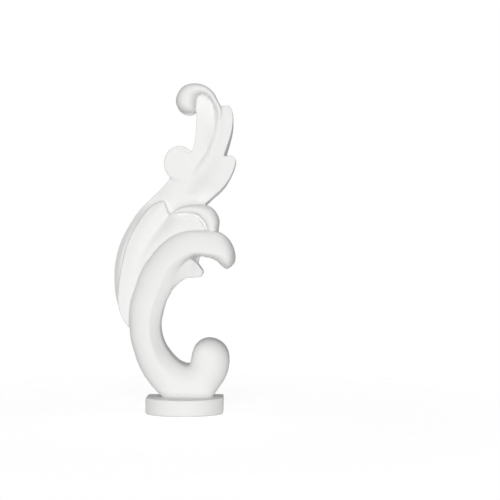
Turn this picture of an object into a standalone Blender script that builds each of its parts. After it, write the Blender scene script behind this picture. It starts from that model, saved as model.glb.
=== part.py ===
"""Moulding end ornament: an acanthus scroll on a round-fronted base, one casting cut flat behind.

The front faces -Y and the flat back lies in the plane y = WALL_Y. The origin is on the underside
of the base, on its centre line. The scroll is built from limbs. A limb is a loft of
sections that stand across it: a dome on two walls, or a leaf blade with a rail for each ridge and
hollow. The tables below draw the scroll in millimetres at the drawn height and depth, and the
driving sizes scale them.
"""
import math

import bmesh
import bpy
import numpy as np
from mathutils import Vector

# Driving sizes in metres
BASE_WIDTH = 0.0705
BASE_DEPTH = 0.050
BASE_SIDE_LENGTH = 0.029
BASE_THICKNESS = 0.015
BASE_RIM_ROUNDING = 0.0012
BASE_FOOT_ROUNDING = 0.0018
SCROLL_HEIGHT = 0.2862
SCROLL_DEPTH = 0.039
WALL_Y = 0.014

# The drawing that the tables were made for, in millimetres: the base's centre line, the foot line,
# the height over it and the depth
DRAWN_CENTRE = -0.25
DRAWN_FOOT = 15.0
DRAWN_HEIGHT = 286.2
DRAWN_DEPTH = 39.0

# Construction
BACK_SPARE = 0.004
SPARE_STEP = 0.0004
SPAN_STEPS = 2
DOME_STEPS = 7
RAIL_STEPS = 3
RIM_SEGMENTS = 2
BASE_ARC_STEPS = 48
MERGE_DISTANCE = 0.00001
SMOOTH_ANGLE = math.radians(32)
COLLECTION_NAME = "moulding_end_ornament"
NODE_NAME = "ornament"

# A dome section: outer foot x z, inner foot x z, crown, outer and inner shoulder heights, crown
# place as a share from the outer side, roundness of the outer and the inner side, inner draft.
STEM = [
    (9.0, 61.5, 6.5, 55.5, 24.0, 19.0, 19.0, 0.50, 1.0, 1.0, 0.2),
    (14.5, 66.2, 6.0, 52.5, 29.0, 19.0, 19.0, 0.50, 1.0, 1.0, 0.2),
    (22.5, 68.0, 5.6, 50.5, 32.5, 19.0, 19.0, 0.50, 1.0, 1.0, 0.2),
    (31.2, 65.4, 5.3, 49.0, 34.5, 19.5, 19.5, 0.50, 1.0, 1.0, 0.2),
    (37.8, 59.0, 5.0, 47.8, 35.3, 20.0, 20.0, 0.50, 1.0, 1.0, 0.2),
    (40.4, 50.5, 4.8, 46.8, 35.3, 20.0, 20.5, 0.50, 1.0, 1.0, 0.2),
    (40.0, 41.5, 4.5, 46.0, 35.3, 20.0, 21.0, 0.50, 1.0, 1.0, 0.2),
    (37.0, 32.5, 4.2, 45.3, 35.3, 20.5, 21.5, 0.52, 1.0, 1.0, 0.2),
    (30.6, 23.0, 3.8, 44.7, 35.3, 22.0, 22.0, 0.55, 1.0, 1.0, 0.2),
    (21.8, 12.0, 3.2, 44.3, 35.3, 27.0, 21.0, 0.60, 1.0, 0.9, 0.2),
    (10.0, 7.5, 1.5, 44.2, 35.2, 30.0, 21.5, 0.61, 1.0, 0.9, 0.2),
    (-4.0, 7.5, -1.5, 45.0, 34.9, 30.0, 21.5, 0.61, 1.0, 0.85, 0.2),
    (-16.0, 12.5, -5.5, 47.0, 34.6, 27.5, 21.5, 0.61, 1.0, 0.8, 0.1),
    (-27.2, 21.5, -9.0, 50.0, 34.2, 21.0, 21.0, 0.60, 0.95, 0.7, 0.1),
    (-36.5, 33.0, -12.3, 53.4, 33.6, 19.0, 20.8, 0.60, 0.95, 0.55, 0.1),
    (-42.5, 44.0, -16.0, 58.3, 32.8, 18.0, 20.6, 0.62, 0.95, 0.42, 0.0),
    (-46.5, 55.2, -18.9, 63.0, 31.8, 17.5, 20.6, 0.64, 0.92, 0.36, 0.0),
    (-50.0, 68.0, -21.8, 71.5, 30.2, 16.5, 20.2, 0.65, 0.9, 0.34, 0.0),
    (-51.2, 80.0, -22.7, 80.5, 29.0, 15.5, 19.8, 0.66, 0.9, 0.32, 0.0),
    (-51.3, 92.0, -21.2, 90.0, 28.0, 14.5, 19.6, 0.66, 0.9, 0.32, 0.0),
    (-49.8, 102.5, -18.0, 101.4, 27.3, 14.5, 19.6, 0.67, 0.9, 0.32, 0.0),
    (-46.2, 113.3, -14.0, 109.3, 27.6, 14.5, 20.0, 0.67, 0.88, 0.32, 0.0),
    (-40.2, 129.8, -10.2, 117.0, 28.8, 14.8, 21.4, 0.66, 0.82, 0.3, 0.2),
    (-31.2, 143.3, -7.5, 125.5, 30.6, 17.0, 22.6, 0.67, 0.8, 0.4, 0.3),
    (-19.7, 155.7, -2.0, 133.8, 32.5, 20.0, 23.0, 0.72, 0.8, 0.7, 0.6),
    (-7.2, 163.3, 3.5, 139.5, 34.4, 23.5, 23.5, 0.78, 0.85, 1.0, 0.6),
    (5.4, 166.3, 10.0, 142.5, 35.8, 26.5, 22.5, 0.80, 0.88, 1.0, 0.5),
    (19.5, 166.2, 18.0, 142.0, 36.8, 28.0, 22.5, 0.80, 0.88, 1.0, 0.5),
    (32.5, 165.0, 26.0, 139.9, 37.6, 26.5, 22.5, 0.74, 0.88, 1.0, 0.5),
    (40.2, 158.6, 30.4, 137.0, 37.8, 24.0, 21.5, 0.62, 0.90, 1.0, 0.5),
    (44.6, 150.4, 33.0, 134.2, 36.6, 21.5, 20.5, 0.54, 0.92, 1.0, 0.5),
    (46.0, 143.0, 34.8, 132.6, 34.0, 18.0, 19.0, 0.50, 0.92, 1.0, 0.7),
    (45.3, 137.6, 36.4, 131.6, 29.0, 17.0, 18.0, 0.50, 1.0, 1.0, 0.4),
    (43.0, 134.2, 38.2, 131.2, 23.0, 16.0, 17.0, 0.50, 1.0, 1.0, 0.2),
]
HEAD_ROLL = [
    (31.0, 254.0, 27.0, 255.0, 22.0, 18.5, 19.5, 0.50, 1.0, 1.0, 0.0),
    (33.2, 266.0, 28.8, 265.5, 23.8, 20.5, 19.5, 0.45, 1.0, 1.0, 0.0),
    (34.2, 273.0, 29.0, 271.5, 24.8, 20.5, 19.5, 0.45, 1.0, 1.0, 0.0),
    (33.6, 278.5, 28.2, 277.0, 25.8, 20.5, 19.5, 0.45, 1.0, 1.0, 0.0),
    (30.6, 284.3, 25.3, 283.3, 27.0, 20.5, 20.0, 0.45, 1.0, 1.0, 0.0),
    (26.4, 292.4, 21.5, 288.6, 27.8, 20.5, 21.0, 0.47, 1.0, 1.0, 0.0),
    (18.0, 299.2, 16.0, 291.6, 28.2, 20.5, 22.5, 0.50, 1.0, 1.0, 0.2),
    (8.6, 301.2, 12.2, 290.6, 29.0, 20.0, 22.0, 0.54, 1.0, 1.0, 0.2),
    (-0.8, 299.0, 10.8, 289.0, 30.0, 19.0, 22.0, 0.58, 1.0, 1.0, 0.3),
    (-6.5, 292.6, 10.3, 287.2, 31.0, 18.5, 22.0, 0.60, 1.0, 1.0, 0.3),
    (-8.5, 285.0, 10.1, 285.6, 31.4, 18.0, 22.0, 0.60, 1.0, 1.0, 0.3),
    (-6.2, 278.4, 9.9, 284.0, 31.0, 18.0, 21.5, 0.58, 1.0, 1.0, 0.3),
    (-0.8, 274.4, 9.8, 282.3, 29.6, 18.0, 20.5, 0.55, 1.0, 1.0, 0.3),
    (5.0, 273.6, 9.7, 280.5, 26.6, 18.0, 19.0, 0.50, 1.0, 1.0, 0.2),
    (8.6, 275.4, 9.5, 278.6, 22.0, 18.0, 18.0, 0.50, 1.0, 1.0, 0.2),
]
CUP_ROLL = [
    (-10.0, 184.5, -9.0, 182.5, 24.0, 17.0, 22.4, 0.50, 1.0, 1.0, 0.0),
    (-4.2, 188.2, -4.2, 183.0, 25.6, 17.0, 22.4, 0.50, 1.0, 1.0, 0.0),
    (4.9, 190.3, 5.2, 182.2, 27.0, 17.0, 21.4, 0.50, 1.0, 1.0, 0.0),
    (14.0, 190.8, 12.2, 179.8, 28.0, 16.5, 20.4, 0.52, 1.0, 1.0, 0.0),
    (20.5, 189.8, 15.6, 176.0, 28.6, 16.5, 20.0, 0.55, 1.0, 1.0, 0.0),
    (25.6, 187.0, 18.2, 172.6, 28.8, 16.5, 19.8, 0.57, 1.0, 1.0, 0.0),
    (29.5, 181.5, 19.2, 169.3, 28.8, 16.5, 19.8, 0.58, 1.0, 1.0, 0.0),
    (31.2, 175.5, 19.8, 166.4, 28.8, 16.5, 19.8, 0.58, 1.0, 1.0, 0.0),
    (30.6, 169.5, 20.2, 163.4, 28.8, 16.5, 20.5, 0.58, 1.0, 1.0, 0.0),
    (29.8, 162.0, 20.6, 159.0, 28.3, 17.5, 23.4, 0.58, 1.0, 1.0, 0.0),
]

# A blade section: draft of its left and its right wall, then x z height for each rail, left to right.
CALYX_LOBE = [
    (0.3, 0.0, -53.0, 77.5, 11.0, -50.0, 78.5, 12.0, -46.0, 80.0, 12.5),
    (0.3, 0.0, -58.0, 85.2, 11.5, -52.5, 86.5, 12.6, -45.0, 88.5, 13.0),
    (0.3, 0.0, -61.2, 93.0, 12.0, -54.5, 95.5, 13.0, -44.0, 98.0, 13.6),
    (0.3, 0.0, -62.4, 102.0, 12.3, -54.0, 104.0, 13.4, -42.0, 107.0, 14.2),
    (0.3, 0.0, -62.0, 113.0, 12.5, -52.5, 114.0, 13.6, -40.0, 116.0, 14.5),
    (0.3, 0.0, -60.5, 126.0, 12.5, -50.5, 125.0, 14.0, -37.0, 125.0, 15.0),
    (0.3, 0.0, -57.6, 141.0, 12.5, -48.0, 139.0, 14.6, -32.0, 136.5, 11.8),
    (0.3, 0.0, -52.6, 157.5, 12.5, -43.0, 153.5, 15.0, -25.5, 147.5, 8.8),
    (0.5, 0.0, -44.6, 173.5, 12.5, -36.5, 168.6, 15.4, -18.0, 160.5, 6.8),
    (0.8, 0.0, -36.5, 185.0, 12.8, -29.5, 180.2, 15.8, -15.0, 172.5, 8.4),
    (1.0, 1.6, -31.0, 190.6, 13.0, -24.6, 186.0, 16.0, -14.4, 180.6, 13.6),
    (1.0, 3.0, -26.0, 193.4, 13.4, -21.5, 190.5, 15.8, -15.4, 187.0, 15.0),
    (0.6, 1.4, -21.8, 194.2, 13.8, -20.2, 193.4, 14.8, -18.0, 192.2, 14.6),
]
CALYX_CUP = [
    (0.0, 0.0, -53.0, 103.0, 12.2, -49.5, 103.0, 13.4, -43.0, 103.0, 14.2),
    (0.0, 0.0, -52.0, 118.0, 12.6, -46.5, 117.0, 14.2, -38.0, 114.0, 15.0),
    (0.0, 0.0, -49.5, 133.0, 12.8, -42.5, 130.0, 14.9, -30.0, 126.0, 15.6),
    (0.0, 0.0, -44.0, 148.5, 10.8, -36.5, 143.5, 15.9, -22.0, 136.0, 16.6),
    (0.0, 0.0, -36.5, 161.0, 9.6, -28.5, 154.5, 17.2, -13.0, 144.5, 18.0),
    (0.0, 0.0, -28.5, 171.0, 9.6, -20.5, 163.5, 18.8, -5.0, 150.0, 21.5),
    (0.0, 0.0, -20.0, 179.5, 10.2, -13.0, 171.5, 20.6, 0.5, 154.0, 24.5),
    (1.0, 0.0, -14.5, 183.0, 16.5, -7.0, 175.5, 21.8, 4.5, 156.0, 26.6),
    (1.5, 0.0, -9.0, 185.5, 20.0, -1.5, 178.5, 22.6, 8.5, 156.5, 27.8),
    (1.8, 0.0, -2.0, 188.5, 17.5, 3.5, 179.0, 22.6, 12.0, 157.0, 28.4),
    (1.8, 0.0, 7.0, 190.0, 17.5, 9.5, 178.5, 22.4, 15.5, 157.0, 28.6),
    (1.4, 0.0, 16.0, 188.5, 17.5, 15.5, 176.5, 22.0, 18.5, 157.0, 28.6),
    (0.6, 0.0, 23.5, 184.5, 17.5, 20.0, 173.5, 21.6, 22.0, 157.0, 28.4),
    (0.6, 0.0, 27.5, 177.0, 17.0, 24.0, 170.0, 21.4, 25.0, 157.0, 27.6),
]
THORN = [
    (0.0, 0.6, -29.0, 106.0, 24.0, -25.0, 104.0, 22.5, -20.4, 101.6, 20.0),
    (0.0, 0.6, -20.0, 121.0, 28.0, -15.5, 117.5, 24.8, -10.6, 114.0, 20.6),
    (0.0, 0.6, -12.5, 131.5, 28.8, -7.8, 126.0, 24.2, -2.8, 120.6, 19.8),
    (0.2, 0.6, -2.0, 141.5, 28.5, 0.0, 131.5, 23.4, 3.4, 123.1, 18.8),
    (0.8, 0.6, 6.0, 141.4, 25.5, 6.6, 131.5, 21.6, 8.2, 123.2, 17.8),
    (1.4, 0.6, 10.6, 138.2, 21.0, 11.0, 130.5, 19.4, 12.2, 123.6, 17.2),
    (1.6, 0.6, 14.2, 133.6, 18.8, 14.1, 129.6, 18.2, 14.8, 124.6, 16.6),
    (0.8, 0.4, 16.2, 130.6, 17.6, 16.1, 129.0, 17.2, 16.4, 127.0, 16.2),
]
THORN_WEB = [
    (0.0, 0.0, 1.0, 142.8, 8.0, 1.3, 139.5, 8.0, 1.6, 136.0, 8.0),
    (0.0, 0.0, 6.0, 144.0, 8.0, 6.4, 140.2, 8.0, 6.6, 136.0, 8.0),
    (0.0, 0.0, 10.4, 144.0, 7.5, 10.6, 140.4, 7.5, 10.4, 136.5, 7.5),
    (0.3, 0.3, 12.4, 143.6, 7.0, 12.6, 141.0, 7.0, 12.0, 138.0, 7.0),
]
LEAF_BLADE = [
    (0.0, 0.0, -60.5, 91.5, 4.0, -56.5, 93.0, 8.0, -49.0, 95.0, 8.0),
    (0.0, 0.0, -64.6, 104.0, 3.2, -59.8, 105.0, 8.6, -50.0, 107.0, 8.8),
    (0.0, 0.0, -66.4, 120.0, 3.0, -61.0, 120.5, 9.2, -48.0, 121.0, 9.0),
    (0.0, 0.0, -65.6, 137.0, 3.0, -60.0, 136.5, 9.4, -44.0, 136.0, 9.0),
    (0.0, 0.0, -61.4, 154.0, 3.0, -55.8, 152.6, 9.4, -38.0, 148.0, 9.0),
    (0.0, 0.0, -53.5, 170.5, 3.0, -48.2, 167.6, 9.2, -28.0, 158.0, 9.0),
    (0.0, 0.0, -43.4, 185.5, 3.0, -35.5, 179.5, 11.0, -16.0, 167.0, 4.5),
    (0.0, 0.0, -31.0, 197.8, 5.0, -20.5, 188.3, 8.8, -5.0, 176.0, 4.0),
    (0.0, 0.0, -18.5, 209.4, 12.6, -10.5, 199.0, 13.2, 6.0, 184.0, 5.0),
    (0.0, 0.0, -11.0, 220.0, 16.6, -2.0, 209.0, 16.2, 12.0, 196.0, 7.6),
    (0.0, 0.0, -2.5, 229.0, 17.4, 5.0, 219.6, 17.4, 16.5, 208.0, 12.0),
    (0.0, 0.0, 4.3, 237.5, 18.2, 11.0, 231.4, 18.4, 21.5, 222.5, 17.0),
    (0.0, 0.0, 8.2, 246.0, 18.3, 15.0, 243.0, 18.6, 25.0, 238.0, 20.2),
    (0.0, 0.0, 9.7, 256.0, 18.3, 17.5, 255.3, 18.6, 28.0, 253.0, 22.4),
    (0.0, 0.0, 10.2, 266.0, 18.2, 18.5, 266.5, 18.7, 29.5, 267.0, 19.6),
    (0.0, 0.0, 10.2, 276.0, 18.4, 18.0, 278.0, 18.4, 29.0, 278.0, 16.8),
    (0.0, 0.0, 10.2, 284.0, 18.0, 16.0, 287.0, 17.4, 24.5, 286.0, 15.4),
    (0.0, 0.0, 10.8, 290.0, 17.2, 13.0, 292.0, 16.6, 18.0, 292.5, 15.0),
]
LOWER_LOBE = [
    (0.0, 2.4, -9.0, 198.5, 9.0, -4.5, 196.0, 9.0, 6.0, 190.0, 6.5, 19.0, 189.5, 8.0),
    (0.0, 2.4, -6.0, 208.0, 13.5, -1.0, 205.0, 15.0, 13.5, 198.5, 8.6, 27.2, 197.1, 11.5),
    (0.0, 1.8, 0.0, 216.5, 15.6, 4.5, 213.8, 17.6, 19.5, 206.5, 12.6, 34.0, 203.4, 14.2),
    (0.0, 1.0, 6.0, 222.8, 16.6, 10.3, 220.3, 19.8, 25.0, 213.0, 16.0, 38.8, 210.1, 16.4),
    (0.0, 0.5, 10.8, 228.3, 17.6, 14.8, 226.0, 21.0, 29.5, 220.0, 18.0, 42.7, 217.4, 17.6),
    (0.0, 0.3, 14.8, 233.3, 18.2, 18.3, 231.0, 21.8, 32.0, 226.5, 19.4, 46.0, 226.5, 18.4),
    (0.0, 0.4, 18.3, 238.5, 18.6, 21.8, 236.0, 22.2, 33.5, 232.0, 20.2, 46.4, 232.2, 18.8),
    (0.0, 0.4, 21.8, 243.5, 17.8, 25.0, 240.5, 21.6, 34.0, 235.2, 20.0, 43.4, 235.5, 19.0),
]
UPPER_LOBE = [
    (0.0, 2.5, 17.0, 234.6, 17.8, 21.0, 234.4, 21.6, 28.0, 234.3, 21.4, 37.4, 234.2, 20.4),
    (0.0, 1.7, 21.0, 246.2, 18.6, 25.8, 246.0, 22.9, 32.0, 246.2, 22.2, 41.2, 247.0, 21.2),
    (0.0, 0.7, 25.0, 258.0, 19.2, 29.8, 258.0, 23.4, 35.0, 258.5, 22.6, 43.8, 260.0, 21.4),
    (0.0, 0.3, 26.8, 269.0, 19.2, 31.6, 269.5, 23.4, 36.5, 270.0, 22.4, 43.9, 271.5, 21.2),
    (0.0, 0.3, 26.5, 276.0, 19.0, 31.2, 277.0, 23.2, 36.5, 277.5, 21.8, 42.8, 278.0, 20.6),
    (0.0, 0.3, 25.5, 280.0, 18.5, 30.0, 280.2, 22.8, 35.0, 280.6, 21.4, 40.4, 281.4, 20.2),
]

# The round side lobe of the upper leaf, in drawing millimetres
ROUND_LOBE_CENTRE = (-5.3, 228.5)
ROUND_LOBE_RADII = (14.2, 16.0)
ROUND_LOBE_HEIGHT = 18.0
ROUND_LOBE_BEVEL = 1.2
ROUND_LOBE_SIDES = 40
ROUND_LOBE_SEGMENTS = 3


def place(x, z, height):
    """The point in the model for a drawn x and z and a drawn height over the wall plane."""
    across = SCROLL_HEIGHT / DRAWN_HEIGHT
    forward = SCROLL_DEPTH / DRAWN_DEPTH
    return Vector(((x - DRAWN_CENTRE) * across, WALL_Y - height * forward,
                   BASE_THICKNESS + (z - DRAWN_FOOT) * across))


def smooth_rows(rows, steps):
    """Rows read from a smooth curve through the given rows, with steps rows for each span."""
    table = np.array(rows, float)
    gaps = np.sqrt(((table[1:] - table[:-1]) ** 2).sum(axis=1))
    knots = np.concatenate(([0.0], np.cumsum(gaps)))
    slopes = np.gradient(table, knots, axis=0)
    result = []
    for i, gap in enumerate(gaps):
        for step in range(steps):
            t = step / steps
            rise = 3 * t ** 2 - 2 * t ** 3
            lead = (t ** 3 - 2 * t ** 2 + t) * gap
            trail = (t ** 3 - t ** 2) * gap
            row = table[i] * (1 - rise) + table[i + 1] * rise
            result.append(row + slopes[i] * lead + slopes[i + 1] * trail)
    result.append(table[-1])
    return result


def dome_section(row):
    """Drawn points across a dome, from the outer shoulder over the crown to the inner one."""
    outer, inner = Vector(row[0:2]), Vector(row[2:4])
    crown, outer_high, inner_high, share, outer_round, inner_round, draft = row[4:]
    inner += (outer - inner).normalized() * draft
    points = []
    for step in range(DOME_STEPS + 1):
        turn = math.pi / 2 * step / DOME_STEPS
        run = 1 - math.cos(turn)
        rise = outer_round * math.sin(turn) + (1 - outer_round) * run
        spot = outer.lerp(inner, share * run)
        points.append((spot.x, spot.y, outer_high + (crown - outer_high) * rise))
    for step in range(DOME_STEPS - 1, -1, -1):
        turn = math.pi / 2 * step / DOME_STEPS
        run = 1 - math.cos(turn)
        rise = inner_round * math.sin(turn) + (1 - inner_round) * run
        spot = inner.lerp(outer, (1 - share) * run)
        points.append((spot.x, spot.y, inner_high + (crown - inner_high) * rise))
    return points


def blade_section(row):
    """Drawn points across a leaf blade, with each wall's top drawn in by its draft."""
    rails = np.array(row[2:], float).reshape(-1, 3)
    across = rails[-1, :2] - rails[0, :2]
    across /= np.linalg.norm(across)
    rails[0, :2] += across * row[0]
    rails[-1, :2] -= across * row[1]
    return [tuple(point) for point in smooth_rows(rails, RAIL_STEPS)]


def back_run(number):
    """How far a limb runs behind the wall plane. Each ends a little further back than the one before."""
    return BACK_SPARE + number * SPARE_STEP


def loft(name, sections, feet, spare, helpers):
    """A closed solid through the sections, standing on walls that run past the wall plane."""
    mesh = bmesh.new()
    rings = []
    for section, (left_foot, right_foot) in zip(sections, feet):
        ring = [mesh.verts.new(place(*left_foot, 0.0) + Vector((0, spare, 0)))]
        ring += [mesh.verts.new(place(*point)) for point in section]
        ring.append(mesh.verts.new(place(*right_foot, 0.0) + Vector((0, spare, 0))))
        rings.append(ring)
    for ring, following in zip(rings, rings[1:]):
        for i in range(len(ring)):
            j = (i + 1) % len(ring)
            mesh.faces.new((ring[i], ring[j], following[j], following[i]))
    mesh.faces.new(rings[0])
    mesh.faces.new(rings[-1])
    bmesh.ops.recalc_face_normals(mesh, faces=mesh.faces)
    return add_helper(name, mesh, helpers)


def add_helper(name, mesh, helpers):
    """An object that only takes part in Booleans, with flat triangles alone."""
    bmesh.ops.triangulate(mesh, faces=mesh.faces)
    data = bpy.data.meshes.new(name)
    mesh.to_mesh(data)
    mesh.free()
    shape = bpy.data.objects.new(name, data)
    shape.hide_render = True
    shape.display_type = "WIRE"
    helpers.objects.link(shape)
    return shape


def dome_limb(name, table, number, helpers):
    """A limb with a domed section, such as the stem or a roll."""
    rows = smooth_rows(table, SPAN_STEPS)
    feet = [((row[0], row[1]), (row[2], row[3])) for row in rows]
    return loft(name, [dome_section(row) for row in rows], feet, back_run(number), helpers)


def blade_limb(name, table, number, helpers):
    """A leaf limb with rails for its edges, ridges and hollows."""
    rows = smooth_rows(table, SPAN_STEPS)
    feet = [((row[2], row[3]), (row[-3], row[-2])) for row in rows]
    return loft(name, [blade_section(row) for row in rows], feet, back_run(number), helpers)


def round_lobe(number, helpers):
    """The round side lobe of the upper leaf: a disc with a bevelled front edge."""
    x, z = ROUND_LOBE_CENTRE
    front = place(x, z, ROUND_LOBE_HEIGHT)
    back = place(x, z, 0.0) + Vector((0, back_run(number), 0))
    middle = (front + back) / 2
    across = SCROLL_HEIGHT / DRAWN_HEIGHT
    mesh = bmesh.new()
    bmesh.ops.create_cone(mesh, cap_ends=True, segments=ROUND_LOBE_SIDES, depth=(back - front).length,
                          radius1=across, radius2=across)
    bmesh.ops.rotate(mesh, verts=mesh.verts, cent=(0, 0, 0),
                     matrix=Vector((0, 0, 1)).rotation_difference(Vector((0, -1, 0))).to_matrix())
    bmesh.ops.scale(mesh, verts=mesh.verts, vec=(ROUND_LOBE_RADII[0], 1, ROUND_LOBE_RADII[1]))
    bmesh.ops.translate(mesh, verts=mesh.verts, vec=middle)
    rim = [edge for edge in mesh.edges if all(vert.co.y < middle.y for vert in edge.verts)]
    bmesh.ops.bevel(mesh, geom=rim, offset=ROUND_LOBE_BEVEL * across, segments=ROUND_LOBE_SEGMENTS,
                    profile=0.5, affect="EDGES")
    return add_helper("round_lobe", mesh, helpers)


def base_block(helpers):
    """The base with straight sides and an arc for its front, run past the wall plane behind."""
    half, bulge = BASE_WIDTH / 2, BASE_DEPTH - BASE_SIDE_LENGTH
    radius = (half ** 2 + bulge ** 2) / (2 * bulge)
    centre_y = WALL_Y - BASE_DEPTH + radius
    reach = math.asin(half / radius)
    outline = bpy.data.curves.new("base_outline", "CURVE")
    outline.dimensions = "2D"
    outline.fill_mode = "BOTH"
    outline.extrude = BASE_THICKNESS / 2
    spline = outline.splines.new("POLY")
    corners = [(half, WALL_Y + BACK_SPARE), (-half, WALL_Y + BACK_SPARE)]
    for step in range(BASE_ARC_STEPS + 1):
        turn = reach * (2 * step / BASE_ARC_STEPS - 1)
        corners.append((radius * math.sin(turn), centre_y - radius * math.cos(turn)))
    spline.points.add(len(corners) - 1)
    for point, (x, y) in zip(spline.points, corners):
        point.co = (x, y, 0, 1)
    spline.use_cyclic_u = True
    drawn = bpy.data.objects.new("base_outline", outline)
    helpers.objects.link(drawn)
    data = bpy.data.meshes.new_from_object(drawn.evaluated_get(bpy.context.evaluated_depsgraph_get()))
    bpy.data.objects.remove(drawn)
    mesh = bmesh.new()
    mesh.from_mesh(data)
    bpy.data.meshes.remove(data)
    bmesh.ops.remove_doubles(mesh, verts=mesh.verts, dist=MERGE_DISTANCE)
    bmesh.ops.translate(mesh, verts=mesh.verts, vec=(0, 0, BASE_THICKNESS / 2))
    bmesh.ops.dissolve_limit(mesh, angle_limit=0.001, verts=mesh.verts, edges=mesh.edges)
    for level, rounding in ((BASE_THICKNESS, BASE_RIM_ROUNDING), (0.0, BASE_FOOT_ROUNDING)):
        rim = [edge for edge in mesh.edges if min(vert.co.y for vert in edge.verts) < WALL_Y
               and all(abs(vert.co.z - level) < MERGE_DISTANCE for vert in edge.verts)]
        bmesh.ops.bevel(mesh, geom=rim, offset=rounding, segments=RIM_SEGMENTS, profile=0.5,
                        affect="EDGES")
    return add_helper("base_block", mesh, helpers)


def wall_cutter(helpers):
    """A block behind the wall plane, which cuts the back of the casting flat."""
    reach = SCROLL_HEIGHT * 2
    mesh = bmesh.new()
    bmesh.ops.create_cube(mesh, size=reach)
    bmesh.ops.translate(mesh, verts=mesh.verts, vec=(0, WALL_Y + reach / 2, SCROLL_HEIGHT / 2))
    return add_helper("wall_cutter", mesh, helpers)


def plaster_white():
    """The primed white finish."""
    material = bpy.data.materials.new("primed_white")
    material.use_nodes = True
    shader = material.node_tree.nodes["Principled BSDF"]
    shader.inputs["Base Color"].default_value = (0.86, 0.86, 0.85, 1)
    shader.inputs["Roughness"].default_value = 0.7
    shader.inputs["Metallic"].default_value = 0.0
    return material


def new_collection(name):
    """A collection in the scene."""
    collection = bpy.data.collections.new(name)
    bpy.context.scene.collection.children.link(collection)
    return collection


def clear_scene():
    """Removes the objects and collections that Blender starts with."""
    for shape in list(bpy.data.objects):
        bpy.data.objects.remove(shape, do_unlink=True)
    for collection in list(bpy.data.collections):
        bpy.data.collections.remove(collection)


def fuse(body, limbs, cutter):
    """Joins the limbs to the body, cuts the back flat and keeps the result as one mesh."""
    for limb in limbs:
        union = body.modifiers.new(limb.name, "BOOLEAN")
        union.operation = "UNION"
        union.solver = "EXACT"
        union.object = limb
    cut = body.modifiers.new(cutter.name, "BOOLEAN")
    cut.operation = "DIFFERENCE"
    cut.solver = "EXACT"
    cut.object = cutter
    data = bpy.data.meshes.new_from_object(body.evaluated_get(bpy.context.evaluated_depsgraph_get()))
    data.name = NODE_NAME
    body.modifiers.clear()
    mesh = bmesh.new()
    mesh.from_mesh(data)
    bmesh.ops.remove_doubles(mesh, verts=mesh.verts, dist=MERGE_DISTANCE)
    bmesh.ops.dissolve_degenerate(mesh, edges=mesh.edges, dist=MERGE_DISTANCE)
    bmesh.ops.triangulate(mesh, faces=mesh.faces)
    mesh.to_mesh(data)
    mesh.free()
    return data


def main():
    """Builds the ornament."""
    clear_scene()
    parts = new_collection(COLLECTION_NAME)
    helpers = new_collection("limbs_and_cutters")
    stem = dome_limb("stem", STEM, 0, helpers)
    limbs = [
        base_block(helpers),
        round_lobe(1, helpers),
        blade_limb("calyx_lobe", CALYX_LOBE, 2, helpers),
        blade_limb("calyx_cup", CALYX_CUP, 3, helpers),
        dome_limb("cup_roll", CUP_ROLL, 4, helpers),
        blade_limb("thorn", THORN, 5, helpers),
        blade_limb("thorn_web", THORN_WEB, 6, helpers),
        blade_limb("leaf_blade", LEAF_BLADE, 7, helpers),
        blade_limb("lower_lobe", LOWER_LOBE, 8, helpers),
        blade_limb("upper_lobe", UPPER_LOBE, 9, helpers),
        dome_limb("head_roll", HEAD_ROLL, 10, helpers),
    ]
    data = fuse(stem, limbs, wall_cutter(helpers))
    data.materials.clear()
    data.materials.append(plaster_white())
    data.shade_smooth()
    data.set_sharp_from_angle(angle=SMOOTH_ANGLE)
    parts.objects.link(bpy.data.objects.new(NODE_NAME, data))


main()
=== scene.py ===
"""Dressed model of a moulding end ornament: an acanthus scroll cast in one with its base plate.

The scroll is drawn in millimetres. Each limb is lofted from rings that stand across it. The limbs
and the plate are grown together into one skin with soft junctions, and the skin is cut flat where
it meets the wall.
"""
import logging
import math
from abc import ABC, abstractmethod
from dataclasses import dataclass, field
from enum import Enum

import bmesh
import bpy
import numpy as np
from mathutils import Matrix, Vector


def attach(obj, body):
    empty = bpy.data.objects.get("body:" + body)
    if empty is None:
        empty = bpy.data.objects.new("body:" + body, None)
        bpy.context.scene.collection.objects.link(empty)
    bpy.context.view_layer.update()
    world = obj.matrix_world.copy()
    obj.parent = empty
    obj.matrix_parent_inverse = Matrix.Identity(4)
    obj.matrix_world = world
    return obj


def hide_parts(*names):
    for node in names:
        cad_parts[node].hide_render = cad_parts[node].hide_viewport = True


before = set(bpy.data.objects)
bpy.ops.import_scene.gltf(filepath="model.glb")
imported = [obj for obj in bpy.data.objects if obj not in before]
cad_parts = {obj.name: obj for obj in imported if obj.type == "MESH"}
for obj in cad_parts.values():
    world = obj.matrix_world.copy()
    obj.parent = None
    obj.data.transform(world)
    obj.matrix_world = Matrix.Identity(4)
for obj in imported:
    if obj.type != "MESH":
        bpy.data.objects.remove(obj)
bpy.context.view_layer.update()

LOG = logging.getLogger("moulding_end_ornament")
NODE_NAME = "ornament"
BODY_NAME = "root"
ROUND_PROFILE = 0.5
NOISE_ROUGHNESS = 0.5
WHITE = (1.0, 1.0, 1.0, 1.0)

Row = tuple[float, ...]
Rows = tuple[Row, ...]
Colour = tuple[float, float, float, float]


class MathStep(Enum):
    """The sums that a shader value can take part in."""

    ADD = "ADD"
    SUBTRACT = "SUBTRACT"
    MULTIPLY = "MULTIPLY"
    DIVIDE = "DIVIDE"


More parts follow.
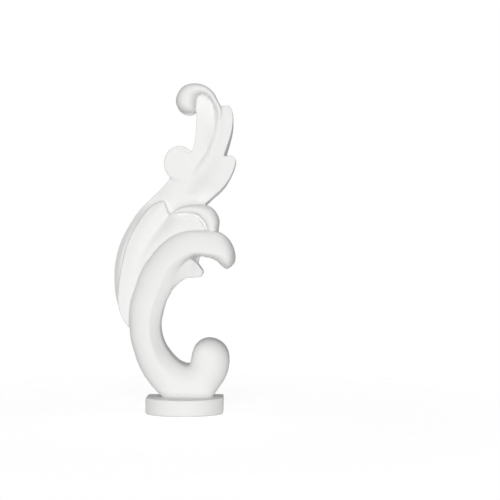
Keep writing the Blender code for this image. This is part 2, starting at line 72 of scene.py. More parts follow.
@dataclass(frozen=True)
class Value:
    """A number in a shader, known by the socket that gives it."""

    recipe: "Recipe"
    socket: bpy.types.NodeSocket

    def _sum(self, step: MathStep, first: "Value | float", second: "Value | float") -> "Value":
        """Adds a Math node for one sum.

        Args:
            step: The kind of sum.
            first: Its first number.
            second: Its second number.

        Returns:
            The result.
        """
        made = self.recipe.node("ShaderNodeMath", {"operation": step.value}, {0: first, 1: second})
        return Value(self.recipe, made.outputs[0])

    def __add__(self, other: "Value | float") -> "Value":
        """Adds.

        Args:
            other: What is added.

        Returns:
            The sum.
        """
        return self._sum(MathStep.ADD, self, other)

    __radd__ = __add__

    def __sub__(self, other: "Value | float") -> "Value":
        """Subtracts.

        Args:
            other: What is taken away.

        Returns:
            The difference.
        """
        return self._sum(MathStep.SUBTRACT, self, other)

    def __rsub__(self, other: float) -> "Value":
        """Subtracts this value from a number.

        Args:
            other: The number that this value is taken from.

        Returns:
            The difference.
        """
        return self._sum(MathStep.SUBTRACT, other, self)

    def __mul__(self, other: "Value | float") -> "Value":
        """Multiplies.

        Args:
            other: The other factor.

        Returns:
            The product.
        """
        return self._sum(MathStep.MULTIPLY, self, other)

    __rmul__ = __mul__

    def __truediv__(self, other: "Value | float") -> "Value":
        """Divides.

        Args:
            other: The divisor.

        Returns:
            The ratio.
        """
        return self._sum(MathStep.DIVIDE, self, other)


class Recipe:
    """The nodes of one material or of the world."""

    def __init__(self, owner: bpy.types.ID) -> None:
        """Starts with an empty node tree.

        Args:
            owner: The material or world that the nodes belong to.
        """
        owner.use_nodes = True
        self.tree = owner.node_tree
        self.tree.nodes.clear()

    def node(self, kind: str, settings: dict[str, object] | None = None,
             inputs: dict[int | str, object] | None = None) -> bpy.types.Node:
        """Adds a node.

        Args:
            kind: The node's type.
            settings: Its own settings, such as a Math node's operation. They are set first.
            inputs: A number, colour, Value or socket for each of its sockets, by name or place.

        Returns:
            The new node.
        """
        made = self.tree.nodes.new(kind)
        for name, setting in (settings or {}).items():
            setattr(made, name, setting)
        for key, given in (inputs or {}).items():
            socket = made.inputs[key]
            if isinstance(given, Value):
                self.tree.links.new(given.socket, socket)
            elif isinstance(given, bpy.types.NodeSocket):
                self.tree.links.new(given, socket)
            else:
                socket.default_value = given
        return made

    def value(self, node: bpy.types.Node, output: str) -> Value:
        """Takes a node's output as a value for sums.

        Args:
            node: The node.
            output: The output's name.

        Returns:
            The value.
        """
        return Value(self, node.outputs[output])

    def noise(self, place: bpy.types.NodeSocket, scale: float, detail: float = 2.0) -> Value:
        """A noise from 0 to 1.

        Args:
            place: The coordinates that it reads.
            scale: Its patches in a metre.
            detail: How many finer octaves it holds.

        Returns:
            The noise.
        """
        made = self.node("ShaderNodeTexNoise", {"noise_dimensions": "3D"},
                         {"Vector": place, "Scale": scale, "Detail": detail,
                          "Roughness": NOISE_ROUGHNESS})
        return self.value(made, "Fac")


@dataclass(frozen=True)
class PrimedWhite:
    """The white primer on the casting: matt, even, with a very fine sprayed skin."""

    name: str = "primed_white_finish"
    light: Colour = (0.875, 0.875, 0.868, 1.0)
    dull: Colour = (0.845, 0.845, 0.835, 1.0)
    tone_patches: float = 42.0
    roughness: float = 0.62
    gloss: float = 0.25
    roughness_spread: float = 0.16
    roughness_patches: float = 160.0
    skin_grains: float = 950.0
    skin_depth: float = 0.00006
    wave_patches: float = 70.0
    wave_depth: float = 0.00020
    fine_detail: float = 3.0

    def material(self) -> bpy.types.Material:
        """Makes the material.

        Returns:
            The material.
        """
        made = bpy.data.materials.new(self.name)
        recipe = Recipe(made)
        place = recipe.node("ShaderNodeTexCoord").outputs["Object"]
        tone = recipe.noise(place, self.tone_patches, self.fine_detail)
        colour = recipe.node("ShaderNodeMix", {"data_type": "RGBA"}, {
            "Factor": tone, "A": self.dull, "B": self.light})
        sheen = recipe.noise(place, self.roughness_patches) * self.roughness_spread + self.roughness
        skin = recipe.noise(place, self.skin_grains, self.fine_detail) * self.skin_depth
        height = skin + recipe.noise(place, self.wave_patches) * self.wave_depth
        bump = recipe.node("ShaderNodeBump", None, {
            "Strength": 1.0, "Distance": 1.0, "Height": height})
        shader = recipe.node("ShaderNodeBsdfPrincipled", None, {
            "Base Color": colour.outputs["Result"], "Roughness": sheen, "Metallic": 0.0,
            "Specular IOR Level": self.gloss, "Normal": bump.outputs["Normal"]})
        recipe.node("ShaderNodeOutputMaterial", None, {"Surface": shader.outputs["BSDF"]})
        return made


@dataclass(frozen=True)
class Drawing:
    """Where a drawn point lies in the model. Drawn lengths are in millimetres, others in metres."""

    centre: float = -0.25
    foot: float = 15.0
    scale: float = 0.001
    base_thickness: float = 0.015
    wall_y: float = 0.014
    spare: float = 0.004

    def place(self, x: float, z: float, height: float) -> Vector:
        """Finds a drawn point in the model.

        Args:
            x: Its drawn x.
            z: Its drawn z.
            height: Its height over the wall plane.

        Returns:
            The point in the model.
        """
        return Vector(((x - self.centre) * self.scale, self.wall_y - height * self.scale,
                       self.base_thickness + (z - self.foot) * self.scale))

    def drawn(self, point: Vector) -> tuple[float, float]:
        """Finds where a point in the model is drawn.

        Args:
            point: The point in the model.

        Returns:
            Its drawn x and z.
        """
        return (point.x / self.scale + self.centre,
                (point.z - self.base_thickness) / self.scale + self.foot)

    def behind(self, x: float, z: float) -> Vector:
        """Finds how far back a wall of the casting is run on, past the wall plane.

        Args:
            x: The wall's drawn x.
            z: Its drawn z.

        Returns:
            The point in the model.
        """
        return self.place(x, z, 0.0) + Vector((0.0, self.spare, 0.0))


def smooth_rows(rows: Rows, steps: int) -> list[np.ndarray]:
    """Reads rows from a smooth curve through the given ones.

    Args:
        rows: Rows of numbers, all of one length.
        steps: How many rows each span is read at.

    Returns:
        The rows, from the first given one to the last.
    """
    table = np.array(rows, float)
    gaps = np.sqrt(((table[1:] - table[:-1]) ** 2).sum(axis=1))
    slopes = np.gradient(table, np.concatenate(([0.0], np.cumsum(gaps))), axis=0)
    result = []
    for i, gap in enumerate(gaps):
        for t in np.arange(steps) / steps:
            rise = 3 * t ** 2 - 2 * t ** 3
            row = table[i] * (1 - rise) + table[i + 1] * rise
            row = row + slopes[i] * (t ** 3 - 2 * t ** 2 + t) * gap
            result.append(row + slopes[i + 1] * (t ** 3 - t ** 2) * gap)
    return result + [table[-1]]


def closed_shell(mesh: bmesh.types.BMesh) -> None:
    """Fills the open ends of a shell and turns its faces outwards.

    Args:
        mesh: The shell.
    """
    rims = [edge for edge in mesh.edges if edge.is_boundary]
    if rims:
        bmesh.ops.holes_fill(mesh, edges=rims, sides=0)
    bmesh.ops.triangulate(mesh, faces=mesh.faces)
    bmesh.ops.recalc_face_normals(mesh, faces=mesh.faces)


@dataclass(frozen=True)
class Limb(ABC):
    """A run of the scroll, lofted through rings that stand across it."""

    name: str
    rows: Rows
    steps: int = 4

    @abstractmethod
    def section(self, row: np.ndarray) -> list[tuple[float, float, float]]:
        """Draws the limb's front, from its first wall to its other one.

        Args:
            row: The numbers of the section.

        Returns:
            Drawn points with their heights.
        """

    @abstractmethod
    def feet(self, row: np.ndarray) -> tuple[Row, Row]:
        """Finds the feet of the two walls.

        Args:
            row: The numbers of the section.

        Returns:
            Drawn x and z of each.
        """

    def ring(self, mesh: bmesh.types.BMesh, row: np.ndarray,
             drawing: Drawing) -> list[bmesh.types.BMVert]:
        """Makes one ring across the limb.

        Args:
            mesh: The mesh that takes it.
            row: The numbers of the section.
            drawing: Where drawn points lie.

        Returns:
            The ring's vertices, in order.
        """
        first, last = self.feet(row)
        points = [drawing.behind(*first), *(drawing.place(*point) for point in self.section(row)),
                  drawing.behind(*last)]
        ring = bmesh.ops.create_circle(mesh, segments=len(points), radius=drawing.spare)["verts"]
        for vert, point in zip(ring, points):
            vert.co = point
        return ring

    def build(self, drawing: Drawing) -> bmesh.types.BMesh:
        """Lofts the limb.

        Args:
            drawing: Where drawn points lie.

        Returns:
            The limb as a closed shell.
        """
        mesh = bmesh.new()
        rings = [self.ring(mesh, row, drawing) for row in smooth_rows(self.rows, self.steps)]
        loops = []
        for ring in rings:
            own = set(ring)
            loops.append([edge for edge in mesh.edges if own.issuperset(edge.verts)])
        for loop, following in zip(loops, loops[1:]):
            bmesh.ops.bridge_loops(mesh, edges=loop + following)
        closed_shell(mesh)
        return mesh


@dataclass(frozen=True)
class DomeLimb(Limb):
    """A limb with a domed front, such as the stem or a roll.

    A row holds the outer foot's x z, the inner foot's x z, the crown's height, the outer and inner
    shoulders' heights, the crown's place as a share from the outer side, the roundness of the
    outer and of the inner side, and how far the inner wall's top is drawn in.
    """

    arc_steps: int = 14

    def section(self, row: np.ndarray) -> list[tuple[float, float, float]]:
        """Draws the dome, from the outer shoulder over the crown to the inner one.

        Args:
            row: The numbers of the section.

        Returns:
            Drawn points with their heights.
        """
        outer, inner = Vector(row[0:2]), Vector(row[2:4])
        crown, outer_high, inner_high, share, outer_round, inner_round, draft = row[4:]
        inner = inner + (outer - inner).normalized() * draft
        rising = self.quarter(outer, inner, outer_high, crown, share, outer_round)
        falling = self.quarter(inner, outer, inner_high, crown, 1 - share, inner_round)
        return rising + falling[-2::-1]

    def quarter(self, start: Vector, end: Vector, low: float, crown: float, share: float,
                roundness: float) -> list[tuple[float, float, float]]:
        """One side of the dome, from its shoulder up to the crown.

        Args:
            start: Drawn x and z of the shoulder.
            end: Drawn x and z of the opposite shoulder.
            low: The shoulder's height.
            crown: The crown's height.
            share: How far across the crown lies.
            roundness: 1 for an ellipse, 0 for a straight slope.

        Returns:
            Drawn points with their heights.
        """
        points = []
        for step in range(self.arc_steps + 1):
            turn = math.pi / 2 * step / self.arc_steps
            run = 1 - math.cos(turn)
            rise = roundness * math.sin(turn) + (1 - roundness) * run
            spot = start.lerp(end, share * run)
            points.append((spot.x, spot.y, low + (crown - low) * rise))
        return points

    def feet(self, row: np.ndarray) -> tuple[Row, Row]:
        """Finds the outer and the inner foot.

        Args:
            row: The numbers of the section.

        Returns:
            Drawn x and z of each.
        """
        return tuple(row[0:2]), tuple(row[2:4])


@dataclass(frozen=True)
class BladeLimb(Limb):
    """A leaf blade with a rail for each edge, ridge and hollow.

    A row holds the draft of the left and of the right wall, then x, z and height for each rail.
    """

    rail_steps: int = 6

    def section(self, row: np.ndarray) -> list[tuple[float, float, float]]:
        """Draws the blade's front, from its left edge to its right one.

        Args:
            row: The numbers of the section.

        Returns:
            Drawn points with their heights.
        """
        rails = np.array(row[2:], float).reshape(-1, 3)
        across = rails[-1, :2] - rails[0, :2]
        across /= np.linalg.norm(across)
        rails[0, :2] += across * row[0]
        rails[-1, :2] -= across * row[1]
        return [tuple(point) for point in smooth_rows(rails, self.rail_steps)]

    def feet(self, row: np.ndarray) -> tuple[Row, Row]:
        """Finds the left and the right foot.

        Args:
            row: The numbers of the section.

        Returns:
            Drawn x and z of each.
        """
        return tuple(row[2:4]), tuple(row[-3:-1])


@dataclass(frozen=True)
class RoundLobe:
    """The round side lobe of the upper leaf, a disc with a softened front edge."""

    name: str = "round_lobe"
    centre: Row = (-5.3, 228.5)
    radii: Row = (14.2, 16.0)
    height: float = 18.0
    edge: float = 1.2
    sides: int = 96
    edge_segments: int = 4

    def build(self, drawing: Drawing) -> bmesh.types.BMesh:
        """Makes the disc.

        Args:
            drawing: Where drawn points lie.

        Returns:
            The disc as a closed shell.
        """
        front, back = drawing.place(*self.centre, self.height), drawing.behind(*self.centre)
        mesh = bmesh.new()
        bmesh.ops.create_cone(mesh, cap_ends=True, segments=self.sides, depth=(back - front).length,
                              radius1=drawing.scale, radius2=drawing.scale)
        bmesh.ops.rotate(mesh, verts=mesh.verts, matrix=Matrix.Rotation(math.pi / 2, 3, "X"))
        bmesh.ops.scale(mesh, verts=mesh.verts, vec=(self.radii[0], 1.0, self.radii[1]))
        bmesh.ops.translate(mesh, verts=mesh.verts, vec=(front + back) / 2)
        middle = (front.y + back.y) / 2
        rim = [edge for edge in mesh.edges if all(vert.co.y < middle for vert in edge.verts)]
        bmesh.ops.bevel(mesh, geom=rim, offset=self.edge * drawing.scale, affect="EDGES",
                        segments=self.edge_segments, profile=ROUND_PROFILE, material=-1)
        closed_shell(mesh)
        return mesh


@dataclass(frozen=True)
class BasePlate:
    """The plate under the scroll: straight sides and an arc for its front. Sizes are in metres.

    An edge belongs to a level if it lies within a small share of the rounding from it.
    """

    name: str = "base_plate"
    width: float = 0.0705
    depth: float = 0.050
    side_length: float = 0.029
    thickness: float = 0.015
    rim: float = 0.0012
    foot: float = 0.0018
    arc_steps: int = 96
    edge_segments: int = 3
    level_share: float = 0.01

    def build(self, drawing: Drawing) -> bmesh.types.BMesh:
        """Makes the plate, run on behind the wall plane.

        Args:
            drawing: Where the wall plane lies.

        Returns:
            The plate as a closed shell.
        """
        half, bulge = self.width / 2, self.depth - self.side_length
        radius = (half ** 2 + bulge ** 2) / (2 * bulge)
        reach = math.asin(half / radius)
        front = drawing.wall_y - self.depth
        mesh = bmesh.new()
        start = bmesh.ops.create_vert(mesh, co=(-half, front + bulge, 0.0))["vert"]
        bmesh.ops.spin(mesh, geom=start, cent=(0.0, front + radius, 0.0), axis=(0.0, 0.0, 1.0),
                       angle=2 * reach, steps=self.arc_steps, use_merge=False)
        ends = [vert for vert in mesh.verts if len(vert.link_edges) == 1]
        runs = bmesh.ops.extrude_vert_indiv(mesh, verts=ends)["verts"]
        for vert in runs:
            vert.co.y = drawing.wall_y + drawing.spare
        bmesh.ops.contextual_create(mesh, geom=runs)
        under = bmesh.ops.contextual_create(mesh, geom=mesh.edges[:])["faces"]
        lifted = bmesh.ops.extrude_face_region(mesh, geom=under, use_keep_orig=True)["geom"]
        top = [item for item in lifted if isinstance(item, bmesh.types.BMVert)]
        bmesh.ops.translate(mesh, verts=top, vec=(0.0, 0.0, self.thickness))
        for level, rounding in ((self.thickness, self.rim), (0.0, self.foot)):
            near = rounding * self.level_share
            edges = [edge for edge in mesh.edges
                     if min(vert.co.y for vert in edge.verts) < drawing.wall_y
                     and all(abs(vert.co.z - level) < near for vert in edge.verts)]
            bmesh.ops.bevel(mesh, geom=edges, offset=rounding, affect="EDGES",
                            segments=self.edge_segments, profile=ROUND_PROFILE, material=-1)
        closed_shell(mesh)
        return mesh


@dataclass(frozen=True)
class SoftSpot:
    """A place where the casting's forms run into each other without a crease. Drawn millimetres.

    It acts on what lies up to its top over the wall plane.
    """

    x: float
    z: float
    reach: float
    passes: int
    top: float = 100.0


@dataclass(frozen=True)
class Stroke:
    """A hollow line in the front of the casting. Drawn millimetres.

    A row of its route holds x, z and the depth there.
    """

    name: str
    route: Rows
    reach: float

    def depths(self, points: np.ndarray) -> np.ndarray:
        """How deep the stroke is at drawn points.

        Args:
            points: Drawn x and z, one row for each point.

        Returns:
            A depth for each point, 0 away from the stroke.
        """
        deepest = np.zeros(len(points))
        for start, end in zip(np.array(self.route), np.array(self.route[1:])):
            run = end[:2] - start[:2]
            share = np.clip((points - start[:2]) @ run / (run @ run), 0, 1)
            gap = np.linalg.norm(points - start[:2] - share[:, None] * run, axis=1)
            fall = (1 + np.cos(math.pi * np.minimum(gap / self.reach, 1))) / 2
            deepest = np.maximum(deepest, fall * (start[2] + (end[2] - start[2]) * share))
        return deepest


STEM = DomeLimb("stem", (
    (9.0, 61.5, 6.5, 55.5, 24.0, 19.0, 19.0, 0.50, 1.0, 1.0, 0.2),
    (14.5, 66.2, 6.0, 52.5, 29.0, 19.0, 19.0, 0.50, 1.0, 1.0, 0.2),
    (22.5, 68.0, 5.6, 50.5, 32.5, 19.0, 19.0, 0.50, 1.0, 1.0, 0.2),
    (31.2, 65.4, 5.3, 49.0, 34.5, 19.5, 19.5, 0.50, 1.0, 1.0, 0.2),
    (37.8, 59.0, 5.0, 47.8, 35.3, 20.0, 20.0, 0.50, 1.0, 1.0, 0.2),
    (40.4, 50.5, 4.8, 46.8, 35.3, 20.0, 20.5, 0.50, 1.0, 1.0, 0.2),
    (40.0, 41.5, 4.5, 46.0, 35.3, 20.0, 21.0, 0.50, 1.0, 1.0, 0.2),
    (37.0, 32.5, 4.2, 45.3, 35.3, 20.5, 21.5, 0.52, 1.0, 1.0, 0.2),
    (30.6, 23.0, 3.8, 44.7, 35.3, 22.0, 22.0, 0.55, 1.0, 1.0, 0.2),
    (21.8, 12.0, 3.2, 44.3, 35.3, 27.0, 21.0, 0.60, 1.0, 0.9, 0.2),
    (10.0, 7.5, 1.5, 44.2, 35.2, 30.0, 21.5, 0.61, 1.0, 0.9, 0.2),
    (-4.0, 7.5, -1.5, 45.0, 34.9, 30.0, 21.5, 0.61, 1.0, 0.85, 0.2),
    (-16.0, 12.5, -5.5, 47.0, 34.6, 27.5, 21.5, 0.61, 1.0, 0.8, 0.1),
    (-27.2, 21.5, -9.0, 50.0, 34.2, 21.0, 21.0, 0.60, 0.95, 0.7, 0.1),
    (-36.5, 33.0, -12.3, 53.4, 33.6, 19.0, 20.8, 0.60, 0.95, 0.55, 0.1),
    (-42.5, 44.0, -16.0, 58.3, 32.8, 18.0, 20.6, 0.62, 0.95, 0.42, 0.0),
    (-46.5, 55.2, -18.9, 63.0, 31.8, 17.5, 20.6, 0.64, 0.92, 0.36, 0.0),
    (-50.0, 68.0, -21.8, 71.5, 30.2, 16.5, 20.2, 0.65, 0.9, 0.34, 0.0),
    (-51.2, 80.0, -22.7, 80.5, 29.0, 15.5, 19.8, 0.66, 0.9, 0.32, 0.0),
    (-51.3, 92.0, -21.2, 90.0, 28.0, 14.5, 19.6, 0.66, 0.9, 0.32, 0.0),
    (-49.8, 102.5, -18.0, 101.4, 27.3, 14.5, 19.6, 0.67, 0.9, 0.32, 0.0),
    (-46.2, 113.3, -14.0, 109.3, 27.6, 14.5, 20.0, 0.67, 0.88, 0.32, 0.0),
    (-40.2, 129.8, -10.2, 117.0, 28.8, 14.8, 21.4, 0.66, 0.82, 0.3, 0.2),
    (-31.2, 143.3, -7.5, 125.5, 30.6, 17.0, 22.6, 0.67, 0.8, 0.4, 0.3),
    (-19.7, 155.7, -2.0, 133.8, 32.5, 20.0, 23.0, 0.72, 0.8, 0.7, 0.6),
    (-7.2, 163.3, 3.5, 139.5, 34.4, 23.5, 23.5, 0.78, 0.85, 1.0, 0.6),
    (5.4, 166.3, 10.0, 142.5, 35.8, 26.5, 22.5, 0.80, 0.88, 1.0, 0.5),
    (19.5, 166.2, 18.0, 142.0, 36.8, 28.0, 22.5, 0.80, 0.88, 1.0, 0.5),
    (32.5, 165.0, 26.0, 139.9, 37.6, 26.5, 22.5, 0.74, 0.88, 1.0, 0.5),
    (40.2, 158.6, 30.4, 137.0, 37.8, 24.0, 21.5, 0.62, 0.90, 1.0, 0.5),
    (44.6, 150.4, 33.0, 134.2, 36.6, 21.5, 20.5, 0.54, 0.92, 1.0, 0.5),
    (46.0, 143.0, 34.8, 132.6, 34.0, 18.0, 19.0, 0.50, 0.92, 1.0, 0.7),
    (45.3, 137.6, 36.4, 131.6, 29.0, 17.0, 18.0, 0.50, 1.0, 1.0, 0.4),
    (43.0, 134.2, 38.2, 131.2, 23.0, 16.0, 17.0, 0.50, 1.0, 1.0, 0.2),
))
HEAD_ROLL = DomeLimb("head_roll", (
    (31.0, 254.0, 27.0, 255.0, 22.0, 18.5, 19.5, 0.50, 1.0, 1.0, 0.0),
    (33.2, 266.0, 28.8, 265.5, 23.8, 20.5, 19.5, 0.45, 1.0, 1.0, 0.0),
    (34.2, 273.0, 29.0, 271.5, 24.8, 20.5, 19.5, 0.45, 1.0, 1.0, 0.0),
    (33.6, 278.5, 28.2, 277.0, 25.8, 20.5, 19.5, 0.45, 1.0, 1.0, 0.0),
    (30.6, 284.3, 25.3, 283.3, 27.0, 20.5, 20.0, 0.45, 1.0, 1.0, 0.0),
    (26.4, 292.4, 21.5, 288.6, 27.8, 20.5, 21.0, 0.47, 1.0, 1.0, 0.0),
    (18.0, 299.2, 16.0, 291.6, 28.2, 20.5, 22.5, 0.50, 1.0, 1.0, 0.2),
    (8.6, 301.2, 12.2, 290.6, 29.0, 20.0, 22.0, 0.54, 1.0, 1.0, 0.2),
    (-0.8, 299.0, 10.8, 289.0, 30.0, 19.0, 22.0, 0.58, 1.0, 1.0, 0.3),
    (-6.5, 292.6, 10.3, 287.2, 31.0, 18.5, 22.0, 0.60, 1.0, 1.0, 0.3),
    (-8.5, 285.0, 10.1, 285.6, 31.4, 18.0, 22.0, 0.60, 1.0, 1.0, 0.3),
    (-6.2, 278.4, 9.9, 284.0, 31.0, 18.0, 21.5, 0.58, 1.0, 1.0, 0.3),
    (-0.8, 274.4, 9.8, 282.3, 29.6, 18.0, 20.5, 0.55, 1.0, 1.0, 0.3),
    (5.0, 273.6, 9.7, 280.5, 26.6, 18.0, 19.0, 0.50, 1.0, 1.0, 0.2),
    (8.6, 275.4, 9.5, 278.6, 22.0, 18.0, 18.0, 0.50, 1.0, 1.0, 0.2),
))
CUP_ROLL = DomeLimb("cup_roll", (
    (-10.0, 184.5, -9.0, 182.5, 24.0, 17.0, 22.4, 0.50, 1.0, 1.0, 0.0),
    (-4.2, 188.2, -4.2, 183.0, 25.6, 17.0, 22.4, 0.50, 1.0, 1.0, 0.0),
    (4.9, 190.3, 5.2, 182.2, 27.0, 17.0, 21.4, 0.50, 1.0, 1.0, 0.0),
    (14.0, 190.8, 12.2, 179.8, 28.0, 16.5, 20.4, 0.52, 1.0, 1.0, 0.0),
    (20.5, 189.8, 15.6, 176.0, 28.6, 16.5, 20.0, 0.55, 1.0, 1.0, 0.0),
    (25.6, 187.0, 18.2, 172.6, 28.8, 16.5, 19.8, 0.57, 1.0, 1.0, 0.0),
    (29.5, 181.5, 19.2, 169.3, 28.8, 16.5, 19.8, 0.58, 1.0, 1.0, 0.0),
    (31.2, 175.5, 19.8, 166.4, 28.8, 16.5, 19.8, 0.58, 1.0, 1.0, 0.0),
    (30.6, 169.5, 20.2, 163.4, 28.8, 16.5, 20.5, 0.58, 1.0, 1.0, 0.0),
    (29.8, 162.0, 20.6, 159.0, 28.3, 17.5, 23.4, 0.58, 1.0, 1.0, 0.0),
))
CALYX_LOBE = BladeLimb("calyx_lobe", (
    (0.3, 0.0, -53.0, 77.5, 11.0, -50.0, 78.5, 12.0, -46.0, 80.0, 12.5),
    (0.3, 0.0, -58.0, 85.2, 11.5, -52.5, 86.5, 12.6, -45.0, 88.5, 13.0),
    (0.3, 0.0, -61.2, 93.0, 12.0, -54.5, 95.5, 13.0, -44.0, 98.0, 13.6),
    (0.3, 0.0, -62.4, 102.0, 12.3, -54.0, 104.0, 13.4, -42.0, 107.0, 14.2),
    (0.3, 0.0, -62.0, 113.0, 12.5, -52.5, 114.0, 13.6, -40.0, 116.0, 14.5),
    (0.3, 0.0, -60.5, 126.0, 12.5, -50.5, 125.0, 14.0, -37.0, 125.0, 15.0),
    (0.3, 0.0, -57.6, 141.0, 12.5, -48.0, 139.0, 14.6, -32.0, 136.5, 11.8),
    (0.3, 0.0, -52.6, 157.5, 12.5, -43.0, 153.5, 15.0, -25.5, 147.5, 8.8),
    (0.5, 0.0, -44.6, 173.5, 12.5, -36.5, 168.6, 15.4, -18.0, 160.5, 6.8),
    (0.8, 0.0, -36.5, 185.0, 12.8, -29.5, 180.2, 15.8, -15.0, 172.5, 8.4),
    (1.0, 1.6, -31.0, 190.6, 13.0, -24.6, 186.0, 16.0, -14.4, 180.6, 13.6),
    (1.0, 3.0, -26.0, 193.4, 13.4, -21.5, 190.5, 15.8, -15.4, 187.0, 15.0),
    (0.6, 1.4, -21.8, 194.2, 13.8, -20.2, 193.4, 14.8, -18.0, 192.2, 14.6),
))
CALYX_CUP = BladeLimb("calyx_cup", (
    (0.0, 0.0, -53.0, 103.0, 12.2, -49.5, 103.0, 13.4, -43.0, 103.0, 14.2),
    (0.0, 0.0, -52.0, 118.0, 12.6, -46.5, 117.0, 14.2, -38.0, 114.0, 15.0),
    (0.0, 0.0, -49.5, 133.0, 12.8, -42.5, 130.0, 14.9, -30.0, 126.0, 15.6),
    (0.0, 0.0, -44.0, 148.5, 10.8, -36.5, 143.5, 15.9, -22.0, 136.0, 16.6),
    (0.0, 0.0, -36.5, 161.0, 9.6, -28.5, 154.5, 17.2, -13.0, 144.5, 18.0),
    (0.0, 0.0, -28.5, 171.0, 9.6, -20.5, 163.5, 18.8, -5.0, 150.0, 21.5),
    (0.0, 0.0, -20.0, 179.5, 10.2, -13.0, 171.5, 20.6, 0.5, 154.0, 24.5),
    (1.0, 0.0, -14.5, 183.0, 16.5, -7.0, 175.5, 21.8, 4.5, 156.0, 26.6),
    (1.5, 0.0, -9.0, 185.5, 20.0, -1.5, 178.5, 22.6, 8.5, 156.5, 27.8),
    (1.8, 0.0, -2.0, 188.5, 17.5, 3.5, 179.0, 22.6, 12.0, 157.0, 28.4),
    (1.8, 0.0, 7.0, 190.0, 17.5, 9.5, 178.5, 22.4, 15.5, 157.0, 28.6),
    (1.4, 0.0, 16.0, 188.5, 17.5, 15.5, 176.5, 22.0, 18.5, 157.0, 28.6),
    (0.6, 0.0, 23.5, 184.5, 17.5, 20.0, 173.5, 21.6, 22.0, 157.0, 28.4),
    (0.6, 0.0, 27.5, 177.0, 17.0, 24.0, 170.0, 21.4, 25.0, 157.0, 27.6),
))
THORN = BladeLimb("thorn", (
    (0.0, 0.6, -29.0, 106.0, 24.0, -25.0, 104.0, 22.5, -20.4, 101.6, 20.0),
    (0.0, 0.6, -20.0, 121.0, 28.0, -15.5, 117.5, 24.8, -10.6, 114.0, 20.6),
    (0.0, 0.6, -12.5, 131.5, 28.8, -7.8, 126.0, 24.2, -2.8, 120.6, 19.8),
    (0.2, 0.6, -2.0, 141.5, 28.5, 0.0, 131.5, 23.4, 3.4, 123.1, 18.8),
    (0.8, 0.6, 6.0, 141.4, 25.5, 6.6, 131.5, 21.6, 8.2, 123.2, 17.8),
    (1.4, 0.6, 10.6, 138.2, 21.0, 11.0, 130.5, 19.4, 12.2, 123.6, 17.2),
    (1.6, 0.6, 14.2, 133.6, 18.8, 14.1, 129.6, 18.2, 14.8, 124.6, 16.6),
    (0.8, 0.4, 16.2, 130.6, 17.6, 16.1, 129.0, 17.2, 16.4, 127.0, 16.2),
))
THORN_WEB = BladeLimb("thorn_web", (
    (0.0, 0.0, 1.0, 142.8, 8.0, 1.3, 139.5, 8.0, 1.6, 136.0, 8.0),
    (0.0, 0.0, 6.0, 144.0, 8.0, 6.4, 140.2, 8.0, 6.6, 136.0, 8.0),
    (0.0, 0.0, 10.4, 144.0, 7.5, 10.6, 140.4, 7.5, 10.4, 136.5, 7.5),
    (0.3, 0.3, 12.4, 143.6, 7.0, 12.6, 141.0, 7.0, 12.0, 138.0, 7.0),
))
LEAF_BLADE = BladeLimb("leaf_blade", (
    (0.0, 0.0, -60.5, 91.5, 4.0, -56.5, 93.0, 8.0, -49.0, 95.0, 8.0),
    (0.0, 0.0, -64.6, 104.0, 3.2, -59.8, 105.0, 8.6, -50.0, 107.0, 8.8),
    (0.0, 0.0, -66.4, 120.0, 3.0, -61.0, 120.5, 9.2, -48.0, 121.0, 9.0),
    (0.0, 0.0, -65.6, 137.0, 3.0, -60.0, 136.5, 9.4, -44.0, 136.0, 9.0),
    (0.0, 0.0, -61.4, 154.0, 3.0, -55.8, 152.6, 9.4, -38.0, 148.0, 9.0),
    (0.0, 0.0, -53.5, 170.5, 3.0, -48.2, 167.6, 9.2, -28.0, 158.0, 9.0),
    (0.0, 0.0, -43.4, 185.5, 3.0, -35.5, 179.5, 11.0, -16.0, 167.0, 4.5),
    (0.0, 0.0, -31.0, 197.8, 5.0, -20.5, 188.3, 8.8, -5.0, 176.0, 4.0),
    (0.0, 0.0, -18.5, 209.4, 12.6, -10.5, 199.0, 13.2, 6.0, 184.0, 5.0),
    (0.0, 0.0, -11.0, 220.0, 16.6, -2.0, 209.0, 16.2, 12.0, 196.0, 7.6),
    (0.0, 0.0, -2.5, 229.0, 17.4, 5.0, 219.6, 17.4, 16.5, 208.0, 12.0),
    (0.0, 0.0, 4.3, 237.5, 18.2, 11.0, 231.4, 18.4, 21.5, 222.5, 17.0),
    (0.0, 0.0, 8.2, 246.0, 18.3, 15.0, 243.0, 18.6, 25.0, 238.0, 20.2),
    (0.0, 0.0, 9.7, 256.0, 18.3, 17.5, 255.3, 18.6, 28.0, 253.0, 22.4),
    (0.0, 0.0, 10.2, 266.0, 18.2, 18.5, 266.5, 18.7, 29.5, 267.0, 19.6),
    (0.0, 0.0, 10.2, 276.0, 18.4, 18.0, 278.0, 18.4, 29.0, 278.0, 16.8),
    (0.0, 0.0, 10.2, 284.0, 18.0, 16.0, 287.0, 17.4, 24.5, 286.0, 15.4),
    (0.0, 0.0, 10.8, 290.0, 17.2, 13.0, 292.0, 16.6, 18.0, 292.5, 15.0),
))
